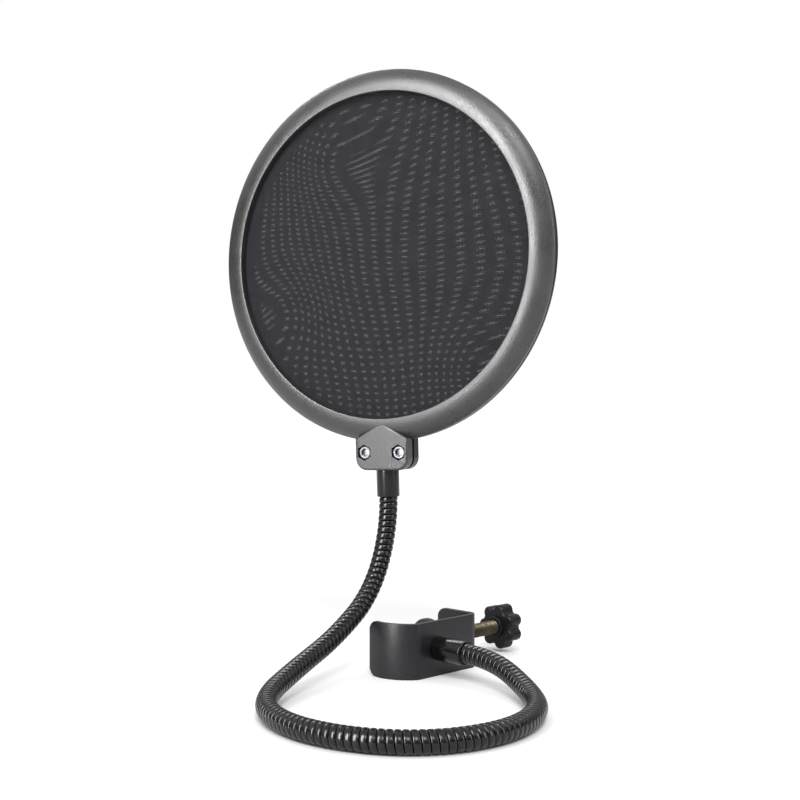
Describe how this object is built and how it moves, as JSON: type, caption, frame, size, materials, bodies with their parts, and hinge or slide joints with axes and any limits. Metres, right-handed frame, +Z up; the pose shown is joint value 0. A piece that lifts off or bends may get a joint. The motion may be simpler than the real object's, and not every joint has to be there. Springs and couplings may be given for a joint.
{
  "type": "pop filter",
  "caption": "Round twin-mesh microphone pop filter on a looped gooseneck, with a bent-steel screw clamp that stands on its edge.",
  "frame": {"origin": "on the clamp bracket's lower edge, at mid thickness of its back wall and straight under the neck's socket", "axes": "+X along the back wall towards the thumbscrew, +Y from the back wall into the jaws, +Z up; the bracket stands on its edge on Z = 0"},
  "size_m": [0.1625, 0.1923, 0.2475],
  "materials": {
    "front_shell_plastic": "fine-grained satin moulding",
    "rear_shell_plastic": "fine-grained satin moulding",
    "mesh": "fine woven nylon",
    "hoop_plastic": "plain moulding",
    "zinc_hardware": "bright zinc plate",
    "ferrule": "gloss black",
    "gooseneck": "gloss black over wound wire",
    "bracket_steel": "satin black powder coat",
    "bush_steel": "satin black",
    "rod_zinc": "yellow zinc plate",
    "knob_plastic": "fine-grained moulding",
    "cup_steel": "satin black",
    "pad_rubber": "matt"
  },
  "bodies": {
    "clamp": {"clamp_bracket": "bracket_steel", "lower_ferrule": "ferrule", "neck_screw": "zinc_hardware", "neck_washer": "zinc_hardware", "screw_bush": "bush_steel", "gooseneck_1": "gooseneck"},
    "neck_link_2": {"gooseneck_2": "gooseneck"},
    "neck_link_3": {"gooseneck_3": "gooseneck"},
    "neck_link_4": {"gooseneck_4": "gooseneck"},
    "neck_link_5": {"gooseneck_5": "gooseneck"},
    "neck_link_6": {"gooseneck_6": "gooseneck"},
    "neck_link_7": {"gooseneck_7": "gooseneck"},
    "neck_link_8": {"gooseneck_8": "gooseneck"},
    "neck_link_9": {"gooseneck_9": "gooseneck"},
    "neck_link_10": {"gooseneck_10": "gooseneck"},
    "neck_link_11": {"gooseneck_11": "gooseneck"},
    "screen": {"front_ring_shell": "front_shell_plastic", "rear_ring_shell": "rear_shell_plastic", "front_mesh": "mesh", "rear_mesh": "mesh", "front_mesh_hoop": "hoop_plastic", "rear_mesh_hoop": "hoop_plastic", "mesh_spacer_ring": "hoop_plastic", "tab_screws": "zinc_hardware", "tab_nuts": "zinc_hardware", "upper_ferrule": "ferrule", "gooseneck_12": "gooseneck"},
    "pad": {"swivel_cup": "cup_steel", "pressure_pad": "pad_rubber"},
    "thumbscrew": {"thumbscrew_rod": "rod_zinc", "thumbscrew_knob": "knob_plastic"}
  },
  "joints": [
    {"name": "neck_flex_1", "type": "hinge", "parent": "clamp", "child": "neck_link_2", "pos_m": [-0.00472, -0.04317, 0.00756], "axis": [-0.3593, 0.3593, -0.8613], "range_deg": [-40, 10]},
    {"name": "neck_flex_2", "type": "hinge", "parent": "neck_link_2", "child": "neck_link_3", "pos_m": [-0.01957, -0.06631, 0.0041], "axis": [0.7071, -0.7071, 0], "range_deg": [-20, 20]},
    {"name": "neck_flex_3", "type": "hinge", "parent": "neck_link_3", "child": "neck_link_4", "pos_m": [-0.04354, -0.08015, 0.0041], "axis": [0, 0, -1], "range_deg": [-40, 0]},
    {"name": "neck_flex_4", "type": "hinge", "parent": "neck_link_4", "child": "neck_link_5", "pos_m": [-0.07108, -0.07895, 0.0041], "axis": [-0.342, -0.9397, 0], "range_deg": [-5, 20]},
    {"name": "neck_flex_5", "type": "hinge", "parent": "neck_link_5", "child": "neck_link_6", "pos_m": [-0.0921, -0.06132, 0.0041], "axis": [0, 0, -1], "range_deg": [-40, 0]},
    {"name": "neck_flex_6", "type": "hinge", "parent": "neck_link_6", "child": "neck_link_7", "pos_m": [-0.09926, -0.03458, 0.0041], "axis": [-1, 0, 0], "range_deg": [-20, 20]},
    {"name": "neck_flex_7", "type": "hinge", "parent": "neck_link_7", "child": "neck_link_8", "pos_m": [-0.0921, -0.00784, 0.0041], "axis": [0.2545, -0.1469, -0.9559], "range_deg": [-40, 0]},
    {"name": "neck_flex_8", "type": "hinge", "parent": "neck_link_8", "child": "neck_link_9", "pos_m": [-0.07193, 0.01073, 0.00662], "axis": [0.2985, -0.8338, 0.4644], "range_deg": [0, 20]},
    {"name": "neck_flex_9", "type": "hinge", "parent": "neck_link_9", "child": "neck_link_10", "pos_m": [-0.04629, 0.02009, 0.01269], "axis": [0.3183, -0.9088, -0.2696], "range_deg": [-35, 10]},
    {"name": "neck_flex_10", "type": "hinge", "parent": "neck_link_10", "child": "neck_link_11", "pos_m": [-0.02113, 0.02573, 0.02338], "axis": [-0.4924, -0.0868, 0.866], "range_deg": [-20, 20]},
    {"name": "neck_flex_11", "type": "hinge", "parent": "neck_link_11", "child": "screen", "pos_m": [-0.00279, 0.02896, 0.04371], "axis": [0.1296, -0.9913, 0.0208], "range_deg": [-35, 10]},
    {"name": "pad_slide", "type": "slide", "parent": "clamp", "child": "pad", "axis": [1, 0, 0], "range_m": [-0.02, 0.007]},
    {"name": "thumbscrew_turn", "type": "hinge", "parent": "pad", "child": "thumbscrew", "pos_m": [0.024, 0.0132, 0.011], "axis": [1, 0, 0], "range_deg": [-7200, 2520]}
  ],
  "couplings": [
    {"joint": "thumbscrew_turn", "follows": "pad_slide", "rad_per_m": 6283.2}
  ]
}
